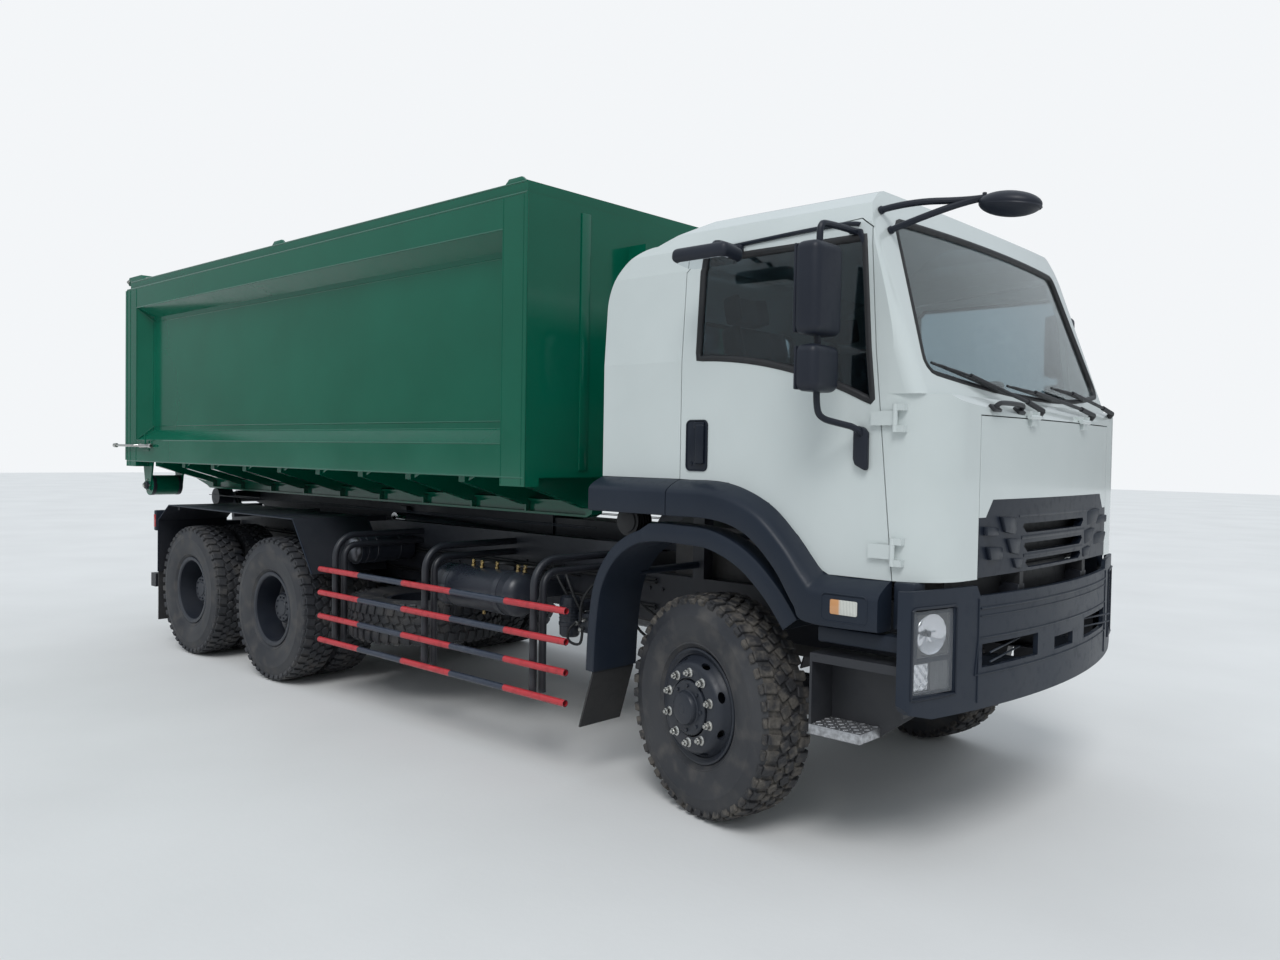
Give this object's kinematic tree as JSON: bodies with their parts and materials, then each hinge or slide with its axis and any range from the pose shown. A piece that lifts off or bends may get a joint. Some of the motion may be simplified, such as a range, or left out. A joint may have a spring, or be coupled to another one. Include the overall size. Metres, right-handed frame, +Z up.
{
  "type": "garbage truck",
  "caption": "Forward-control garbage truck with a tilting cab, a hook lift and a closed roll-off container that tips and opens at the rear.",
  "frame": {"origin": "centre of the truck's bounding box, on the ground", "axes": "+X forward, +Y to the truck's left, +Z up"},
  "size_m": [8.536, 2.91, 3.2977],
  "materials": {
    "cab_paint": "gloss white",
    "trim_black": "satin blue-black",
    "grille_black": "satin",
    "glass": "clear, slightly tinted",
    "seat_cloth": "woven, dull",
    "dash_grey": "grained",
    "lamp_clear": "clear moulded",
    "lamp_red": "red moulded",
    "chassis_black": "satin black",
    "engine_iron": "dull",
    "container_green": "gloss emerald",
    "lift_dark": "satin",
    "rod_chrome": "polished",
    "tyre": "matte with dust",
    "rim_grey": "satin dark grey",
    "guard_red": "gloss red with dark grey bands",
    "tank_metal": "satin black",
    "fuel_alloy": "brushed",
    "step_alloy": "satin black with bare treads",
    "flap_rubber": "matte",
    "wiper_black": "satin",
    "mirror_black": "satin"
  },
  "bodies": {
    "chassis": {"chassis_frame": "chassis_black", "front_axle": "chassis_black", "rear_axle_housings": "chassis_black", "bogie_suspension": "chassis_black", "powertrain": "engine_iron", "hook_subframe": "lift_dark", "rear_fenders": "chassis_black", "front_mudguards": "trim_black", "mudflaps": "flap_rubber", "guard_rails": "guard_red", "guard_posts": "chassis_black", "air_tank": "tank_metal", "fuel_tank_and_battery": "fuel_alloy", "front_bumper": "trim_black", "headlamps": "lamp_clear", "entry_steps": "step_alloy", "spare_tyre": "tyre", "spare_rim": "rim_grey", "tail_lamps": "lamp_red"},
    "knuckle_right": {"knuckle_right": "chassis_black"},
    "knuckle_left": {"knuckle_left": "chassis_black"},
    "front_wheel_right": {"front_tyre_right": "tyre", "front_rim_right": "rim_grey"},
    "front_wheel_left": {"front_tyre_left": "tyre", "front_rim_left": "rim_grey"},
    "middle_wheels_right": {"middle_tyres_right": "tyre", "middle_rims_right": "rim_grey"},
    "middle_wheels_left": {"middle_tyres_left": "tyre", "middle_rims_left": "rim_grey"},
    "rear_wheels_right": {"rear_tyres_right": "tyre", "rear_rims_right": "rim_grey"},
    "rear_wheels_left": {"rear_tyres_left": "tyre", "rear_rims_left": "rim_grey"},
    "cab": {"cab_shell": "cab_paint", "cab_glass": "glass", "cab_flares": "trim_black", "wipers": "wiper_black", "front_mirror": "mirror_black", "seats": "seat_cloth", "dashboard": "dash_grey"},
    "door_right": {"door_shell_right": "cab_paint", "door_trim_right": "trim_black", "door_glass_right": "glass", "door_mirrors_right": "mirror_black"},
    "door_left": {"door_shell_left": "cab_paint", "door_trim_left": "trim_black", "door_glass_left": "glass", "door_mirrors_left": "mirror_black"},
    "front_flap": {"front_panel": "cab_paint", "grille": "grille_black"},
    "tipping_frame": {"tipping_frame": "lift_dark"},
    "container": {"hook_jib": "lift_dark", "container_body": "container_green", "container_base": "container_green", "gate_hinges": "container_green", "gate_latches": "rod_chrome"},
    "tailgate": {"tailgate": "container_green"},
    "lift_barrels": {"cylinder_barrels": "lift_dark"},
    "lift_rods": {"cylinder_rods": "rod_chrome"}
  },
  "joints": [
    {"name": "cab_tilt", "type": "hinge", "parent": "chassis", "child": "cab", "pos_m": [3.998, 0, 1.17], "axis": [0, 1, 0], "range_deg": [0, 45]},
    {"name": "door_right_hinge", "type": "hinge", "parent": "cab", "child": "door_right", "pos_m": [3.788, -1.151, 1.6], "axis": [0, 0, 1], "range_deg": [0, 70]},
    {"name": "door_left_hinge", "type": "hinge", "parent": "cab", "child": "door_left", "pos_m": [3.788, 1.151, 1.6], "axis": [0, 0, -1], "range_deg": [0, 70]},
    {"name": "front_flap_hinge", "type": "hinge", "parent": "cab", "child": "front_flap", "pos_m": [4.042, 0, 1.94], "axis": [0, -1, 0], "range_deg": [0, 80]},
    {"name": "steer_right", "type": "hinge", "parent": "chassis", "child": "knuckle_right", "pos_m": [2.838, -0.87, 0.538], "axis": [0, 0, 1], "range_deg": [-26.3, 53.7]},
    {"name": "steer_left", "type": "hinge", "parent": "chassis", "child": "knuckle_left", "pos_m": [2.838, 0.87, 0.538], "axis": [0, 0, 1], "range_deg": [-26.3, 53.7]},
    {"name": "front_wheel_right_spin", "type": "hinge", "parent": "knuckle_right", "child": "front_wheel_right", "pos_m": [2.8001, -1.0254, 0.538], "axis": [0.2368, 0.9715, 0], "continuous": true},
    {"name": "front_wheel_left_spin", "type": "hinge", "parent": "knuckle_left", "child": "front_wheel_left", "pos_m": [2.8759, 1.0254, 0.538], "axis": [0.2368, 0.9715, 0], "continuous": true},
    {"name": "middle_wheels_right_spin", "type": "hinge", "parent": "chassis", "child": "middle_wheels_right", "pos_m": [-1.272, -0.925, 0.538], "axis": [0, 1, 0], "continuous": true},
    {"name": "middle_wheels_left_spin", "type": "hinge", "parent": "chassis", "child": "middle_wheels_left", "pos_m": [-1.272, 0.925, 0.538], "axis": [0, 1, 0], "continuous": true},
    {"name": "rear_wheels_right_spin", "type": "hinge", "parent": "chassis", "child": "rear_wheels_right", "pos_m": [-2.642, -0.925, 0.538], "axis": [0, 1, 0], "continuous": true},
    {"name": "rear_wheels_left_spin", "type": "hinge", "parent": "chassis", "child": "rear_wheels_left", "pos_m": [-2.642, 0.925, 0.538], "axis": [0, 1, 0], "continuous": true},
    {"name": "tip", "type": "hinge", "parent": "chassis", "child": "tipping_frame", "pos_m": [-3.582, 0, 1.27], "axis": [0, -1, 0], "range_deg": [0, 48]},
    {"name": "jib_slide", "type": "slide", "parent": "tipping_frame", "child": "container", "axis": [-1, 0, 0], "range_m": [0, 0.9]},
    {"name": "tailgate_hinge", "type": "hinge", "parent": "container", "child": "tailgate", "pos_m": [-4.068, 0, 3.258], "axis": [0, 1, 0], "range_deg": [0, 95]},
    {"name": "barrel_swing", "type": "hinge", "parent": "chassis", "child": "lift_barrels", "pos_m": [0.838, 0, 1.112], "axis": [0, 1, 0], "range_deg": [0, 34.3]},
    {"name": "rod_slide", "type": "slide", "parent": "lift_barrels", "child": "lift_rods", "axis": [-0.9992, 0, 0.041], "range_m": [0, 1.43]}
  ],
  "couplings": [
    {"joint": "steer_left", "follows": "steer_right", "ratio": 1},
    {"joint": "barrel_swing", "follows": "tip", "ratio": 0.71095},
    {"joint": "rod_slide", "follows": "tip", "m_per_rad": 1.7001}
  ]
}
